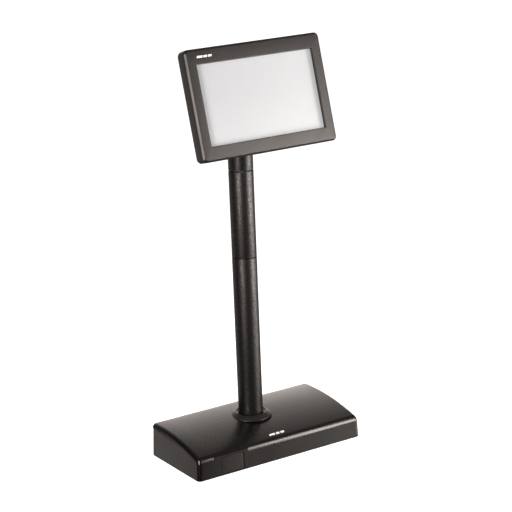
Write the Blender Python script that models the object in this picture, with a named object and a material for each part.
"""Customer pole display: a weighted base, a two-section pole, a neck that turns and a head that tilts.

Lengths are millimetres, and make() turns each finished mesh into metres.
The stand's frame has its origin at the centre of the base, level with the base's lower edge.
+X is the viewer's right, the front faces -Y and +Z is up. The table lies FOOT_LIFT below that origin.
The neck's frame lies on the pole's axis at the swivel seam. The head's frame lies on the tilt axis,
leans back with the head, and has the screen facing its -Y.
"""

import bpy
import bmesh
from math import atan2, cos, pi, radians, sin, tan
from mathutils import Matrix, Vector

MM = 0.001
GAP = 0.3                # air between pieces that touch
ROUND = 24               # sides of a turned piece
POLE_SIDES = 40

# Base: a shell with a crowned top that falls to the front
BASE_WIDTH = 230.0
BASE_DEPTH = 109.0
TOP_FRONT = 25.6         # height of the top, carried on to the front face
TOP_BACK = 39.0
TOP_CROWN = 4.8
WALL = 2.5
FRONT_WALL = 3.0
FRONT_DRAFT = tan(radians(1.0))
SIDE_DRAFT = tan(radians(3.0))
FRONT_RADIUS = 8.5
SIDE_RADIUS = 5.0
BACK_RADIUS = 1.5
FRONT = -BASE_DEPTH / 2
BACK = BASE_DEPTH / 2
FOOT_LIFT = 1.5
FOOT_RADIUS = 9.0
FOOT_AT = (88.0, 38.0)
PAN_SCREW_AT = (103.0, 44.0)

# Lip over the access door: a crisp edge where the rest of the front is round
LIP_LEFT = -91.7
LIP_RIGHT = -46.0
LIP_EDGE = 24.8

# Access door, hung on a vertical axis at its right end
DOOR_LEFT = -82.15
DOOR_AXIS = (-53.95, FRONT + 1.75)
DOOR_END_RADIUS = 1.35
DOOR_BOTTOM = 2.3
DOOR_TOP = 21.5
DOOR_BACK = FRONT + 2.75
DOOR_RIGHT_GAP = 0.7
PIVOT_RADIUS = 0.7
PIVOT_LENGTH = 1.3

# Power switch behind the door
SWITCH_X = -67.15
SWITCH_Z = 12.6
ROCKER_AXIS = (SWITCH_X, FRONT + 15.7)
ROCKER_TILT = radians(7.0)

# Floor, weight and electronics inside the base
PAN_BOTTOM = 0.7
PAN_TOP = 2.7
BALLAST_TOP = 9.0
FLANGE_TOP = 13.3
CHANNEL_HALF = 6.0
BOARD_TOP = 8.6
BOARD_CENTRE = (-74.5, 31.0)
BOARD_HALF = (24.0, 19.0)

# Pole
POLE_Y = 10.0
POLE_RADIUS = 14.8
POLE_BORE = 12.6
SLEEVE = POLE_BORE - GAP
TUBE_SEAM = 236.0
SWIVEL_Z = 341.0
SPINDLE_RADIUS = 7.5
CABLE_RADIUS = 2.3
FLANGE_SCREW_CIRCLE = 20.0

# Neck, measured from the swivel seam
NECK_TOP = 63.0
SADDLE_TOP = 67.5
GRUB_Z = 54.0
HINGE_Y = -12.3          # tilt axis, in front of the pole's axis
HINGE_Z = 81.6
EAR_IN, EAR_OUT = 10.6, 14.0
LUG_IN, LUG_OUT = 6.4, 9.6
TILT = radians(15.43)

# Head, measured from the tilt axis
FACE_Y = -42.0           # front of the bezel
BEZEL_BACK = -27.0
COVER_BACK = -17.0
HALF_WIDTH = 90.0
HALF_HEIGHT = 63.0
HEAD_MID = 0.5           # the frame's centre, above the window's centre
CORNER = 5.5
EDGE = 2.5
WINDOW_HALF = (76.95, 46.15)
BEZEL_WALL = 3.4
SHELL = 2.2
WINDOW_FRONT = -37.5
PANEL_FRONT = -35.7
TRAY_HALF = (84.0, 53.0)
STANDOFF_AT = (70.0, 42.0)

FINISHES = {             # colour, roughness, metallic
    "base_plastic": ((0.030, 0.028, 0.026), 0.28, 0.0),
    "pole_coat": ((0.026, 0.023, 0.021), 0.42, 0.0),
    "head_plastic": ((0.060, 0.055, 0.052), 0.45, 0.0),
    "door_plastic": ((0.030, 0.024, 0.023), 0.50, 0.0),
    "plain_plastic": ((0.020, 0.020, 0.020), 0.50, 0.0),
    "steel": ((0.560, 0.560, 0.570), 0.35, 1.0),
    "black_steel": ((0.030, 0.030, 0.030), 0.40, 0.0),
    "rubber": ((0.020, 0.020, 0.020), 0.80, 0.0),
    "bush_plastic": ((0.750, 0.740, 0.700), 0.50, 0.0),
    "board": ((0.020, 0.150, 0.060), 0.45, 0.0),
    "socket_plastic": ((0.025, 0.025, 0.028), 0.40, 0.0),
    "plug_plastic": ((0.800, 0.790, 0.740), 0.45, 0.0),
    "cable": ((0.015, 0.015, 0.015), 0.55, 0.0),
    "window": ((0.900, 0.910, 0.920), 0.08, 0.0),
    "screen": ((0.820, 0.825, 0.830), 0.25, 0.0),
    "foam": ((0.050, 0.050, 0.050), 0.90, 0.0),
}


# Outlines

def arc(centre, radius, start, end, steps):
    """Points on an arc between two angles in degrees."""
    angles = [radians(start + (end - start) * i / steps) for i in range(steps + 1)]
    return [(centre[0] + radius * cos(a), centre[1] + radius * sin(a)) for a in angles]


def rounded_rect(half_x, half_y, radius, centre=(0.0, 0.0), steps=4):
    """Outline of a rectangle with round corners."""
    points = []
    for quarter, (sx, sy) in enumerate([(1, 1), (-1, 1), (-1, -1), (1, -1)]):
        middle = (centre[0] + sx * (half_x - radius), centre[1] + sy * (half_y - radius))
        points += arc(middle, radius, 90 * quarter, 90 * quarter + 90, steps)
    return points


def fillet(before, corner, after, radius, steps):
    """Arc that rounds the corner between two straight lines."""
    corner = Vector(corner)
    u = (Vector(before) - corner).normalized()
    v = (Vector(after) - corner).normalized()
    half = u.angle(v) / 2
    centre = corner + (u + v).normalized() * (radius / sin(half))
    reach = radius / tan(half)
    first = corner + u * reach - centre
    last = corner + v * reach - centre
    start = atan2(first.y, first.x)
    sweep = (atan2(last.y, last.x) - start + pi) % (2 * pi) - pi
    turns = [start + sweep * i / steps for i in range(steps + 1)]
    return [(centre.x + radius * cos(a), centre.y + radius * sin(a)) for a in turns]


# Solids

def loft(rings, ring_shaped=False):
    """Skin loops of equal length, capping the ends or joining the last loop to the first."""
    bm = bmesh.new()
    loops = [[bm.verts.new(point) for point in ring] for ring in rings]
    pairs = list(zip(loops, loops[1:]))
    if ring_shaped:
        pairs.append((loops[-1], loops[0]))
    else:
        bm.faces.new(loops[0])
        bm.faces.new(loops[-1])
    for near, far in pairs:
        for i in range(len(near)):
            j = (i + 1) % len(near)
            bm.faces.new((near[i], near[j], far[j], far[i]))
    bmesh.ops.recalc_face_normals(bm, faces=bm.faces)
    return bm


def in_plane(point, level, axis):
    """A 2D point and a level along an axis as a 3D point."""
    a, b = point
    return {"X": (level, a, b), "Y": (a, level, b), "Z": (a, b, level)}[axis]


def prism(outline, low, high, axis="Z"):
    """An outline pushed along an axis."""
    return loft([[in_plane(p, level, axis) for p in outline] for level in (low, high)])


def box(low, high):
    corners = [(low[0], low[1]), (high[0], low[1]), (high[0], high[1]), (low[0], high[1])]
    return prism(corners, low[2], high[2])


def turned(levels, centre=(0.0, 0.0), axis="Z", sides=ROUND):
    """A solid turned on an axis from (radius, level) pairs, one circle for each pair."""
    rings = []
    for radius, level in levels:
        circle = arc(centre, radius, 0, 360, sides)[:-1]
        rings.append([in_plane(p, level, axis) for p in circle])
    return loft(rings)


def cylinder(radius, low, high, centre=(0.0, 0.0), axis="Z", sides=ROUND):
    return turned([(radius, low), (radius, high)], centre, axis, sides)


def ring(profile, centre=(0.0, 0.0), sides=ROUND):
    """A bored solid, turned on a vertical axis from a closed profile of (radius, height) points."""
    rings = []
    for i in range(sides):
        angle = 2 * pi * i / sides
        rings.append([(centre[0] + r * cos(angle), centre[1] + r * sin(angle), h) for r, h in profile])
    return loft(rings, ring_shaped=True)


def sleeve(outer, inner, low, high, centre=(0.0, 0.0), sides=ROUND, chamfer=0.0):
    """A plain tube, with its outer edges broken by a chamfer."""
    profile = [(inner, low), (outer - chamfer, low), (outer, low + chamfer),
               (outer, high - chamfer), (outer - chamfer, high), (inner, high)]
    if chamfer == 0:
        profile = [(inner, low), (outer, low), (outer, high), (inner, high)]
    return ring(profile, centre, sides)


def screw(head_radius, head_height, shank_radius, length, sides=12):
    """A socket-head screw, its head's underside at height 0 and its shank pointing down."""
    socket = head_radius * 0.5
    return turned([(shank_radius * 0.7, -length), (shank_radius, -length + shank_radius * 0.5),
                   (shank_radius, 0), (head_radius, 0), (head_radius, head_height * 0.7),
                   (head_radius * 0.85, head_height), (socket, head_height),
                   (socket, head_height * 0.4)], sides=sides)


def facing(bm, direction, place):
    """Turn a piece from +Z to a direction and move it to its place."""
    turn = Vector((0, 0, 1)).rotation_difference(Vector(direction)).to_matrix().to_4x4()
    bm.transform(Matrix.Translation(place) @ turn)
    return bm


# Objects

def raw(bm):
    """An unnamed working object from a mesh."""
    mesh = bpy.data.meshes.new("work")
    bm.to_mesh(mesh)
    bm.free()
    work = bpy.data.objects.new("work", mesh)
    bpy.context.scene.collection.objects.link(work)
    return work


def combine(target, tool, operation):
    """Apply an exact Boolean to the target and throw the tool away."""
    modifier = target.modifiers.new(operation.title(), "BOOLEAN")
    modifier.operation = operation
    modifier.object = tool
    evaluated = target.evaluated_get(bpy.context.evaluated_depsgraph_get())
    result = bpy.data.meshes.new_from_object(evaluated)
    target.modifiers.clear()
    target.data = result
    bpy.data.objects.remove(tool)


def cut(target, *tools):
    for tool in tools:
        combine(target, raw(tool), "DIFFERENCE")


def join(target, *tools):
    for tool in tools:
        combine(target, raw(tool), "UNION")


def paint(data, name, finish):
    """Give a piece its own material."""
    colour, roughness, metallic = FINISHES[finish]
    material = bpy.data.materials.new(name)
    material.use_nodes = True
    shader = material.node_tree.nodes["Principled BSDF"]
    shader.inputs["Base Color"].default_value = (*colour, 1.0)
    shader.inputs["Roughness"].default_value = roughness
    shader.inputs["Metallic"].default_value = metallic
    material.diffuse_color = (*colour, 1.0)
    data.materials.clear()
    data.materials.append(material)


def make(name, solid, finish, parent):
    """Name a finished solid, scale it to metres and hang it on its frame."""
    piece = solid if isinstance(solid, bpy.types.Object) else raw(solid)
    piece.name = name
    piece.data.name = name
    piece.data.transform(Matrix.Scale(MM, 4))
    piece.data.shade_smooth()
    piece.data.set_sharp_from_angle(angle=radians(35))
    paint(piece.data, name, finish)
    piece.parent = parent
    return piece


def cable(name, route, parent, steps=6):
    """A round cable along a smooth curve through its route."""
    points = [Vector(p) for p in route]
    ends = [points[0] * 2 - points[1]] + points + [points[-1] * 2 - points[-2]]
    smooth = []
    for p0, p1, p2, p3 in zip(ends, ends[1:], ends[2:], ends[3:]):
        for i in range(steps):
            t = i / steps
            smooth.append(0.5 * (2 * p1 + (p2 - p0) * t + (2 * p0 - 5 * p1 + 4 * p2 - p3) * t ** 2
                                 + (3 * p1 - p0 - 3 * p2 + p3) * t ** 3))
    smooth.append(points[-1])
    curve = bpy.data.curves.new(name, "CURVE")
    curve.dimensions = "3D"
    spline = curve.splines.new("POLY")
    spline.points.add(len(smooth) - 1)
    for target, point in zip(spline.points, smooth):
        target.co = (*(point * MM), 1.0)
    curve.bevel_depth = CABLE_RADIUS * MM
    curve.bevel_resolution = 2
    curve.use_fill_caps = True
    paint(curve, name, "cable")
    piece = bpy.data.objects.new(name, curve)
    bpy.context.scene.collection.objects.link(piece)
    piece.parent = parent


def frame(name, parent, place, tilt=0.0):
    """An empty that carries the pieces of one body."""
    empty = bpy.data.objects.new(name, None)
    bpy.context.scene.collection.objects.link(empty)
    empty.parent = parent
    empty.location = Vector(place) * MM
    empty.rotation_euler.x = tilt
    return empty


# Base

def top_height(y):
    """Height of the base's top at y."""
    t = (y - FRONT) / BASE_DEPTH
    return TOP_FRONT + (TOP_BACK - TOP_FRONT) * t + 4 * TOP_CROWN * t * (1 - t)


def front_face(z):
    return FRONT + FRONT_DRAFT * z


def base_outline():
    """Side view of the base, from the front's foot over the top to the back's foot, and its front arc."""
    top = [(y, top_height(y)) for y in (FRONT + 14 + 18.2 * i for i in range(6))]
    front_corner = (front_face(TOP_FRONT), top_height(front_face(TOP_FRONT)))
    back_corner = (BACK - FRONT_DRAFT * TOP_BACK, top_height(BACK - FRONT_DRAFT * TOP_BACK))
    nose = fillet((front_face(0), 0), front_corner, top[0], FRONT_RADIUS, 6)
    heel = fillet(top[-2], back_corner, (BACK, 0), BACK_RADIUS, 2)
    return [(front_face(0), 0)] + nose + top[:-1] + heel + [(BACK, 0)], len(nose)


def base_block():
    """The base's outer solid: round at the front, crisp along the lip over the door."""
    outline, nose_points = base_outline()
    lip_root = nose_points - 2
    bm = bmesh.new()

    def column(x, drafted):
        return [bm.verts.new((x - SIDE_DRAFT * z * (1 if x > 0 else -1) * drafted, y, z)) for y, z in outline]

    half = BASE_WIDTH / 2
    columns = [column(-half, 1), column(LIP_LEFT, 0), column(LIP_RIGHT, 0), column(half, 1)]
    edges = [bm.verts.new((x, front_face(LIP_EDGE), LIP_EDGE)) for x in (LIP_LEFT, LIP_RIGHT)]
    for index, (left, right) in enumerate(zip(columns, columns[1:])):
        if index == 1:
            left = left[:2] + [edges[0]] + left[lip_root:]
            right = right[:2] + [edges[1]] + right[lip_root:]
        for i in range(len(left)):
            bm.faces.new((left[i - 1], left[i], right[i], right[i - 1]))
    for side, edge in zip(columns[1:3], edges):
        bm.faces.new(side[1:lip_root + 1] + [edge])
    caps = [bm.faces.new(columns[0]), bm.faces.new(columns[3])]
    bmesh.ops.recalc_face_normals(bm, faces=bm.faces)
    rims = [e for cap in caps for e in cap.edges if max(v.co.z for v in e.verts) > 0]
    bmesh.ops.bevel(bm, geom=rims, offset=SIDE_RADIUS, offset_type="OFFSET", segments=3,
                    profile=0.5, affect="EDGES", clamp_overlap=False)
    return bm


def corners(x, y):
    return [(sx * x, sy * y) for sy in (-1, 1) for sx in (-1, 1)]


def cover_cavity():
    """The hollow of the base cover: the inside of the shell less its bosses and the door's top rail."""
    first, last = FRONT + 8.5, BACK - WALL - 1
    ceiling = [(y, top_height(y) - WALL) for y in (first + (last - first) * i / 5 for i in range(6))]
    outline = [(FRONT + FRONT_WALL, -1), (FRONT + FRONT_WALL + 0.4, DOOR_TOP)] + ceiling + [(BACK - WALL, -1)]
    sides = [[(s * (BASE_WIDTH / 2 - WALL - SIDE_DRAFT * z), y, z) for y, z in outline] for s in (-1, 1)]
    hollow = raw(loft(sides))
    for place in corners(*PAN_SCREW_AT):
        cut(hollow, cylinder(3.5, PAN_TOP + GAP, 50, place, sides=16))
    cut(hollow, box((LIP_LEFT - 3, FRONT + 2, DOOR_TOP + GAP + 0.1), (LIP_RIGHT + 3, FRONT + 6, 40)))
    return hollow


def make_base_cover(stand):
    cover = raw(base_block())
    combine(cover, cover_cavity(), "DIFFERENCE")
    cut(cover, cylinder(POLE_RADIUS + 0.4, 0, 60, (0, POLE_Y), sides=POLE_SIDES))
    for place in corners(*PAN_SCREW_AT):
        cut(cover, cylinder(1.8, 0, 16, place, sides=12))
    door_right = DOOR_AXIS[0] + DOOR_END_RADIUS + DOOR_RIGHT_GAP
    cut(cover, box((DOOR_LEFT - GAP, FRONT - 5, DOOR_BOTTOM - GAP), (door_right, FRONT + 5, DOOR_TOP + GAP)))
    hole = PIVOT_RADIUS + GAP
    cut(cover, cylinder(hole, DOOR_BOTTOM - PIVOT_LENGTH - GAP, 5, DOOR_AXIS, sides=12),
        cylinder(hole, 15, DOOR_TOP + PIVOT_LENGTH + GAP, DOOR_AXIS, sides=12))
    for low, high in (dc_jack_box(), data_port_box()):
        cut(cover, box([v - GAP for v in low], (high[0] + GAP, BACK + 5, high[2] + GAP)))
    make("base_cover", cover, "base_plastic", stand)


def make_base_pan(stand):
    middle = (FRONT + FRONT_WALL + 0.4 + BACK - WALL - 0.4) / 2
    half_depth = (BACK - WALL - 0.4) - middle
    pan = raw(prism(rounded_rect(BASE_WIDTH / 2 - WALL - 0.6, half_depth, 1.5, (0, middle), 2),
                    PAN_BOTTOM, PAN_TOP))
    for x, y in corners(BOARD_HALF[0] - 4, BOARD_HALF[1] - 4):
        place = (BOARD_CENTRE[0] + x, BOARD_CENTRE[1] + y)
        join(pan, cylinder(2.4, PAN_BOTTOM + 0.5, BOARD_TOP - 1.6 - GAP, place, sides=12))
    for place in corners(*PAN_SCREW_AT):
        cut(pan, cylinder(1.8, 0, 5, place, sides=12))
    for place in flange_screw_places():
        cut(pan, cylinder(2.0, 0, 5, place, sides=12))
    make("base_pan", pan, "black_steel", stand)


def flange_screw_places():
    reach = FLANGE_SCREW_CIRCLE * sin(pi / 4)
    return [(x, POLE_Y + y) for x, y in corners(reach, reach)]


def make_ballast(stand):
    """The weight, with a channel that leads the cable to the pole."""
    weight = raw(prism(rounded_rect(69, 37, 4, (29, -3), 2), PAN_TOP + GAP, BALLAST_TOP))
    cut(weight, cylinder(8, 0, 20, (0, POLE_Y)))
    cut(weight, box((-50, POLE_Y - CHANNEL_HALF, 0), (0, POLE_Y + CHANNEL_HALF, 20)))
    for place in flange_screw_places():
        cut(weight, cylinder(2.0, 0, 20, place, sides=12))
    make("ballast_plate", weight, "steel", stand)


def make_pole_foot(stand):
    """Flange with its spigot inside the pole, its screws, and the trim ring on top of the base."""
    bottom = BALLAST_TOP + GAP
    flange = raw(ring([(7, bottom), (26, bottom), (26, FLANGE_TOP), (SLEEVE, FLANGE_TOP), (SLEEVE, 60),
                       (9.5, 60), (9.5, 18), (7, 15)], (0, POLE_Y), 32))
    for number, place in enumerate(flange_screw_places(), 1):
        cut(flange, cylinder(2.0, 0, 20, place, sides=12))
        bolt = facing(screw(3.6, 2.4, 1.7, 12.6), (0, 0, 1), (*place, FLANGE_TOP + GAP))
        make(f"flange_screw_{number}", bolt, "steel", stand)
    make("pole_flange", flange, "steel", stand)

    collar = raw(ring([(POLE_RADIUS + 0.5, 30), (22.5, 30), (23.2, 35.8), (25.3, 36.8), (25.5, 37.5),
                       (18.9, 41.4), (18.2, 41.6), (16.0, 40.3), (POLE_RADIUS + 0.5, 40.1)],
                      (0, POLE_Y), POLE_SIDES))
    seat = base_block()
    seat.transform(Matrix.Translation((0, 0, GAP)))
    cut(collar, seat)
    make("pole_collar", collar, "base_plastic", stand)


def make_pole(stand):
    """Two tubes on one joining sleeve, and the bush that the neck turns in."""
    centre = (0, POLE_Y)
    make("lower_pole_tube", sleeve(POLE_RADIUS, POLE_BORE, FLANGE_TOP + GAP, TUBE_SEAM - 0.2, centre,
                                   POLE_SIDES, 0.4), "pole_coat", stand)
    make("upper_pole_tube", sleeve(POLE_RADIUS, POLE_BORE, TUBE_SEAM + 0.2, SWIVEL_Z - 0.5, centre,
                                   POLE_SIDES, 0.4), "pole_coat", stand)
    make("pole_joiner", sleeve(SLEEVE, 10.3, TUBE_SEAM - 30, TUBE_SEAM + 30, centre, 32), "steel", stand)
    make("swivel_bush", sleeve(SLEEVE, SPINDLE_RADIUS + GAP, SWIVEL_Z - 23, SWIVEL_Z - 0.5, centre, 32),
         "bush_plastic", stand)


def make_feet_and_pan_screws(stand):
    names = ("front_left", "front_right", "back_left", "back_right")
    for number, (name, foot, hole) in enumerate(zip(names, corners(*FOOT_AT), corners(*PAN_SCREW_AT)), 1):
        make(f"foot_{name}", turned([(FOOT_RADIUS - 0.6, -FOOT_LIFT), (FOOT_RADIUS, -FOOT_LIFT + 0.6),
                                     (FOOT_RADIUS, PAN_BOTTOM - GAP)], foot), "rubber", stand)
        make(f"pan_screw_{number}", facing(screw(3.0, 1.3, 1.5, 12), (0, 0, -1),
                                           (*hole, PAN_BOTTOM - GAP)), "steel", stand)


def dc_jack_box():
    return (-97.0, 40.0, BOARD_TOP + GAP), (-87.5, BACK - 0.8, 20.0)


def data_port_box():
    return (-76.0, 38.0, BOARD_TOP + GAP), (-64.0, BACK - 0.8, 20.0)


def make_electronics(stand):
    """Interface board with its two sockets, and the cable that runs up the pole."""
    board = prism(rounded_rect(*BOARD_HALF, 1.5, BOARD_CENTRE, 2), BOARD_TOP - 1.6, BOARD_TOP)
    make("interface_board", board, "board", stand)

    low, high = dc_jack_box()
    middle = ((low[0] + high[0]) / 2, (low[2] + high[2]) / 2)
    jack = raw(box(low, high))
    cut(jack, cylinder(3.1, high[1] - 10, high[1] + 5, middle, "Y", 16))
    join(jack, cylinder(1.0, high[1] - 11, high[1] - 1.5, middle, "Y", 8))
    make("dc_jack", jack, "socket_plastic", stand)

    low, high = data_port_box()
    middle = ((low[0] + high[0]) / 2, (low[2] + high[2]) / 2)
    port = raw(box(low, high))
    mouth = rounded_rect(4.2, 3.9, 0.6, middle, 1)
    cut(port, prism(mouth, high[1] - 9, high[1] + 5, "Y"))
    join(port, box((middle[0] - 2.8, high[1] - 10, middle[1] - 1.6),
                   (middle[0] + 2.8, high[1] - 1, middle[1] + 1.6)))
    make("data_port", port, "socket_plastic", stand)

    make("harness_plug", box((-62, 24, BOARD_TOP + GAP), (-54, 36, 15)), "plug_plastic", stand)
    route = [(-53, 30, 12), (-51, 30, 12), (-47.6, 23, 8.6), (-45, 15, 6.6), (-40, 10.8, 6), (-24, POLE_Y, 6),
             (-10, POLE_Y, 6.3), (-2.8, POLE_Y, 9.4), (0, POLE_Y, 17), (0, POLE_Y, 40), (0, POLE_Y, 110),
             (0, POLE_Y, 180), (0, POLE_Y, 250), (0, POLE_Y, SWIVEL_Z - 40)]
    cable("stand_harness", route, stand, 3)


# Door and power switch

def make_switch_bay(stand):
    """Tray behind the door, with the power switch's frame in its back wall."""
    low = (DOOR_LEFT - 1.25, FRONT + FRONT_WALL + 0.8, PAN_TOP + GAP)
    high = (DOOR_AXIS[0] + 3.05, FRONT + 17, DOOR_TOP + 0.1)
    bay = raw(box(low, high))
    cut(bay, box((low[0] + 1.2, low[1] - 2, low[2] + 1.2), (high[0] - 1.2, high[1] - 1.5, high[2] - 1.2)))
    cut(bay, box((SWITCH_X - 9.8, FRONT, SWITCH_Z - 6.8), (SWITCH_X + 9.8, high[1] + 5, SWITCH_Z + 6.8)))
    make("switch_bay", bay, "plain_plastic", stand)

    rim = high[1] - 1.5 - GAP
    holder = raw(box((SWITCH_X - 10.5, rim - 1.5, SWITCH_Z - 7.3), (SWITCH_X + 10.5, rim, SWITCH_Z + 7.3)))
    join(holder, box((SWITCH_X - 9.5, rim - 1, SWITCH_Z - 6.5), (SWITCH_X + 9.5, rim + 12, SWITCH_Z + 6.5)))
    cut(holder, box((SWITCH_X - 8.2, rim - 5, SWITCH_Z - 5.2), (SWITCH_X + 8.2, rim + 4.0, SWITCH_Z + 5.2)))
    for x in (-4, 4):
        blade = SWITCH_X + x
        join(holder, box((blade - 0.4, rim + 11, SWITCH_Z - 2.4), (blade + 0.4, rim + 18, SWITCH_Z + 2.4)))
    make("switch_frame", holder, "socket_plastic", stand)


def make_door(door):
    """Flat door whose right end is rounded about its pivots, in the door's frame."""
    left = DOOR_LEFT - DOOR_AXIS[0]
    back = DOOR_BACK - DOOR_AXIS[1]
    rings = []
    for z in (DOOR_BOTTOM, DOOR_TOP):
        reach = DOOR_AXIS[1] - front_face(z)
        end = [(DOOR_END_RADIUS * sin(a), -reach * cos(a)) for a in (pi / 2 * i / 4 for i in range(5))]
        end += [(DOOR_END_RADIUS * cos(a), back * sin(a)) for a in (pi / 2 * i / 3 for i in range(1, 4))]
        rings.append([(x, y, z) for x, y in [(left, -reach)] + end + [(left, back)]])
    panel = raw(loft(rings))
    join(panel, cylinder(PIVOT_RADIUS, DOOR_BOTTOM - PIVOT_LENGTH, DOOR_BOTTOM + 1, sides=12),
         cylinder(PIVOT_RADIUS, DOOR_TOP - 1, DOOR_TOP + PIVOT_LENGTH, sides=12))
    make("access_door", panel, "door_plastic", door)


def make_rocker(rocker):
    """Rocker with a hollowed front, pressed in at its left end."""
    outline = [(-7.7, -2.6), (-4, -1.8), (0, -1.5), (4, -1.8), (7.7, -2.6), (6.6, 1.2), (0, 2.5), (-6.6, 1.2)]
    bm = prism(outline, SWITCH_Z - 4.9, SWITCH_Z + 4.9)
    bm.transform(Matrix.Rotation(-ROCKER_TILT, 4, "Z"))
    make("power_rocker", bm, "socket_plastic", rocker)


# Neck

def grub_hole():
    """Cross hole for the two grub screws that lock the yoke's plug in the neck."""
    return cylinder(2.0 + GAP, -20, 20, (0, GRUB_Z), "X", 12)


def make_swivel(neck):
    """Spindle fixed in the neck, held in the bush by a nut."""
    bore = 4.5
    tube = raw(sleeve(POLE_RADIUS, POLE_BORE, 0.5, NECK_TOP, sides=POLE_SIDES, chamfer=0.4))
    cut(tube, grub_hole())
    make("neck_tube", tube, "pole_coat", neck)
    make("swivel_spindle", ring([(bore, -32), (SPINDLE_RADIUS, -32), (SPINDLE_RADIUS, 0.5), (SLEEVE, 0.5),
                                 (SLEEVE, 16), (bore, 16)], sides=32), "steel", neck)
    make("swivel_washer", sleeve(SLEEVE - 0.1, SPINDLE_RADIUS + GAP, -0.2, 0.2, sides=32), "plain_plastic",
         neck)
    nut = raw(cylinder(11.4, -30.3, -23.3, sides=6))
    cut(nut, cylinder(SPINDLE_RADIUS + GAP, -40, -20))
    make("swivel_nut", nut, "steel", neck)


def make_yoke(neck):
    """Saddle with a plug in the neck and two ears for the tilt axis."""
    yoke = raw(cylinder(SLEEVE, 44, NECK_TOP + 1, sides=32))
    join(yoke, prism(rounded_rect(EAR_OUT, 12.5, 5, (0, -1)), NECK_TOP + GAP, SADDLE_TOP))
    ear = arc((HINGE_Y, HINGE_Z), 8.5, -15, 195, 14) + [(-13.2, SADDLE_TOP - 1.5), (8, SADDLE_TOP - 1.5)]
    for low, high in ((-EAR_OUT, -EAR_IN), (EAR_IN, EAR_OUT)):
        join(yoke, prism(ear, low, high, "X"))
    cut(yoke, cylinder(5, 30, 90, sides=16))
    cut(yoke, cylinder(2.2, -20, 20, (HINGE_Y, HINGE_Z), "X", 16))
    cut(yoke, grub_hole())
    make("hinge_yoke", yoke, "base_plastic", neck)

    for side, name in ((-1, "left"), (1, "right")):
        grub = turned([(2.0, side * 8.2), (2.0, side * 13.4), (1.0, side * 13.4), (1.0, side * 11.6)],
                      (0, GRUB_Z), "X", 12)
        make(f"yoke_screw_{name}", grub, "steel", neck)


def make_tilt_pivots(neck):
    """A bolt, a nut and a friction washer on each side of the cable."""
    for side, name in ((-1, "left"), (1, "right")):
        at_hinge = (0, HINGE_Y, HINGE_Z)
        bolt = screw(4.2, 2.4, 1.9, EAR_OUT + GAP - 2.9)
        make(f"tilt_bolt_{name}", facing(bolt, (side, 0, 0), (side * (EAR_OUT + GAP), *at_hinge[1:])),
             "steel", neck)
        nut = raw(facing(cylinder(4.0, 3.4, 6.1, sides=6), (side, 0, 0), at_hinge))
        washer = raw(facing(cylinder(6.5, 9.9, 10.3), (side, 0, 0), at_hinge))
        for piece in (nut, washer):
            cut(piece, cylinder(2.2, -20, 20, (HINGE_Y, HINGE_Z), "X", 16))
        make(f"tilt_nut_{name}", nut, "steel", neck)
        make(f"tilt_washer_{name}", washer, "bush_plastic", neck)


def make_neck_lead(neck):
    end = Vector((0, HINGE_Y, HINGE_Z)) + 1.2 * Vector((0, cos(TILT), -sin(TILT)))
    route = [(0, 0, -39.5), (0, 0, 0), (0, 0, 40), (0, 0, 66), (0, -1.2, 72), (0, -4.5, 77.4),
             tuple(end + 3.4 * Vector((0, cos(TILT), -sin(TILT)))), tuple(end)]
    cable("neck_lead", route, neck, 3)


# Head

def head_loop(inset, y, radius, half=(HALF_WIDTH, HALF_HEIGHT)):
    """A rounded rectangle around the head at depth y, set in from a half size."""
    outline = rounded_rect(half[0] - inset, half[1] - inset, radius, (0, HEAD_MID))
    return [(x, y, z) for x, z in outline]


def window_loop(inset, y):
    return [(x, y, z) for x, z in rounded_rect(WINDOW_HALF[0] - inset, WINDOW_HALF[1] - inset, 0.8)]


def make_bezel(head):
    """Front shell: a deep frame with a rounded rim round the window."""
    rings = [head_loop(0, BEZEL_BACK, CORNER)]
    for i in range(4):
        a = pi / 2 * i / 3
        inset = EDGE * (1 - cos(a))
        rings.append(head_loop(inset, FACE_Y + EDGE * (1 - sin(a)), CORNER - inset))
    rings += [window_loop(-0.5, FACE_Y), window_loop(0, FACE_Y + 0.5), window_loop(0.4, FACE_Y + BEZEL_WALL),
              head_loop(SHELL, FACE_Y + BEZEL_WALL, CORNER - SHELL), head_loop(SHELL, BEZEL_BACK, CORNER - SHELL)]
    make("front_bezel", loft(rings, ring_shaped=True), "head_plastic", head)


def make_rear_cover(head):
    """Back shell: a lip inside the bezel, tapered sides, vents and bosses for the tilt bracket."""
    lip_out, lip_in = SHELL + GAP, SHELL + GAP + 1.5
    seam = BEZEL_BACK + GAP
    taper = 10.0
    rings = [head_loop(taper, COVER_BACK, 5), head_loop(taper - 2, COVER_BACK - 0.8, 5),
             head_loop(0.8, COVER_BACK - 8, 5), head_loop(0.4, seam, CORNER),
             head_loop(lip_out, seam, 3), head_loop(lip_out, seam - 3.5, 3), head_loop(lip_in, seam - 3.5, 2),
             head_loop(lip_in, seam + 1.5, 2), head_loop(taper + 0.5, COVER_BACK - 2.2, 3)]
    cover = raw(loft(rings))
    inner = COVER_BACK - 2.2
    cut(cover, cylinder(4.5, inner - 5, COVER_BACK + 5, (0, 0), "Y", 20))
    for x in (-18.5, 18.5):
        join(cover, cylinder(4, inner - 3, inner + 1, (x, 0), "Y", 16))
        cut(cover, cylinder(1.8, inner - 5, COVER_BACK + 5, (x, 0), "Y", 12))
    for place in corners(*STANDOFF_AT):
        cut(cover, cylinder(1.8, inner - 5, COVER_BACK + 5, place, "Y", 12))
    for i in range(9):
        x = (i - 4) * 7.0
        cut(cover, prism(rounded_rect(1.1, 8, 1.0, (x, 36), 2), inner - 5, COVER_BACK + 5, "Y"))
    make("rear_cover", cover, "head_plastic", head)


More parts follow.
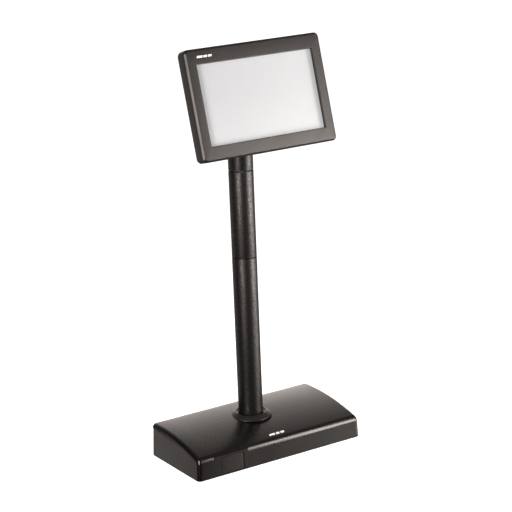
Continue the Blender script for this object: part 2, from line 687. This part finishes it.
def make_display(head):
    """Window, gasket, panel, the metal tray that carries them, and the control board."""
    back_of_wall = FACE_Y + BEZEL_WALL
    near, far = back_of_wall + GAP, back_of_wall + 0.8
    strip = [[(x, y, z) for x, z in rounded_rect(*half, 1)]
             for half, y in (((81, 49), near), ((78, 47.2), near), ((78, 47.2), far), ((81, 49), far))]
    make("window_gasket", loft(strip, ring_shaped=True), "foam", head)
    sheet = prism(rounded_rect(81, 49, 1), WINDOW_FRONT, WINDOW_FRONT + 1.5, "Y")
    make("screen_window", sheet, "window", head)
    make("lcd_panel", prism(rounded_rect(82.4, 50, 0.5, steps=1), PANEL_FRONT, PANEL_FRONT + 2.4, "Y"),
         "screen", head)

    wide, tall = TRAY_HALF
    tray = raw(box((-wide, PANEL_FRONT, -tall), (wide, PANEL_FRONT + 3.9, tall)))
    cut(tray, box((-82.8, PANEL_FRONT - 5, -50.4), (82.8, PANEL_FRONT + 2.7, 50.4)))
    for place in corners(*STANDOFF_AT):
        join(tray, cylinder(3, PANEL_FRONT + 3, COVER_BACK - 2.2 - GAP, place, "Y", 12))
        cut(tray, cylinder(1.8, PANEL_FRONT + 5.5, COVER_BACK, place, "Y", 12))
    make("lcd_frame", tray, "steel", head)

    board_y = PANEL_FRONT + 6.4
    board = prism(rounded_rect(50, 30, 1.5, steps=2), board_y, board_y + 1.6, "Y")
    make("control_board", board, "board", head)
    make("board_plug", box((-6, board_y + 1.9, -4), (6, board_y + 7, 4)), "plug_plastic", head)
    cable("head_lead", [(0, -1.2, 0), (0, -7, 0), (0, -14, 0), (0, board_y + 7.3, 0)], head, 1)


def make_tilt_bracket(head):
    """Plate on the rear cover with two lugs that turn on the tilt bolts."""
    near = COVER_BACK + GAP
    bracket = raw(prism(rounded_rect(24, 17, 4), near, near + 2.5, "Y"))
    lug = arc((0, 0), 7.5, 110, -110, 12) + [(near + 1, -11), (near + 1, 11)]
    for low, high in ((-LUG_OUT, -LUG_IN), (LUG_IN, LUG_OUT)):
        join(bracket, prism(lug, low, high, "X"))
    cut(bracket, cylinder(4, near - 5, near + 5, (0, 0), "Y", 16))
    cut(bracket, cylinder(2.2, -20, 20, (0, 0), "X", 16))
    for x, name in ((-18.5, "left"), (18.5, "right")):
        cut(bracket, cylinder(1.8, near - 5, near + 5, (x, 0), "Y", 12))
        make(f"bracket_screw_{name}", facing(screw(3.2, 2.0, 1.5, 7), (0, 1, 0), (x, near + 2.5 + GAP, 0)),
             "steel", head)
    make("tilt_bracket", bracket, "black_steel", head)
    for number, (x, z) in enumerate(corners(*STANDOFF_AT), 1):
        make(f"cover_screw_{number}", facing(screw(3.0, 1.8, 1.5, 8), (0, 1, 0), (x, COVER_BACK + GAP, z)),
             "steel", head)


def main():
    for old in list(bpy.data.objects):
        bpy.data.objects.remove(old)

    stand = frame("stand_frame", None, (0, 0, FOOT_LIFT))
    door = frame("door_frame", stand, (*DOOR_AXIS, 0))
    rocker = frame("rocker_frame", stand, (*ROCKER_AXIS, 0))
    neck = frame("neck_frame", stand, (0, POLE_Y, SWIVEL_Z))
    head = frame("head_frame", neck, (0, HINGE_Y, HINGE_Z), -TILT)

    make_base_cover(stand)
    make_base_pan(stand)
    make_ballast(stand)
    make_pole_foot(stand)
    make_pole(stand)
    make_feet_and_pan_screws(stand)
    make_electronics(stand)
    make_switch_bay(stand)
    make_door(door)
    make_rocker(rocker)
    make_swivel(neck)
    make_yoke(neck)
    make_tilt_pivots(neck)
    make_neck_lead(neck)
    make_bezel(head)
    make_rear_cover(head)
    make_display(head)
    make_tilt_bracket(head)


main()
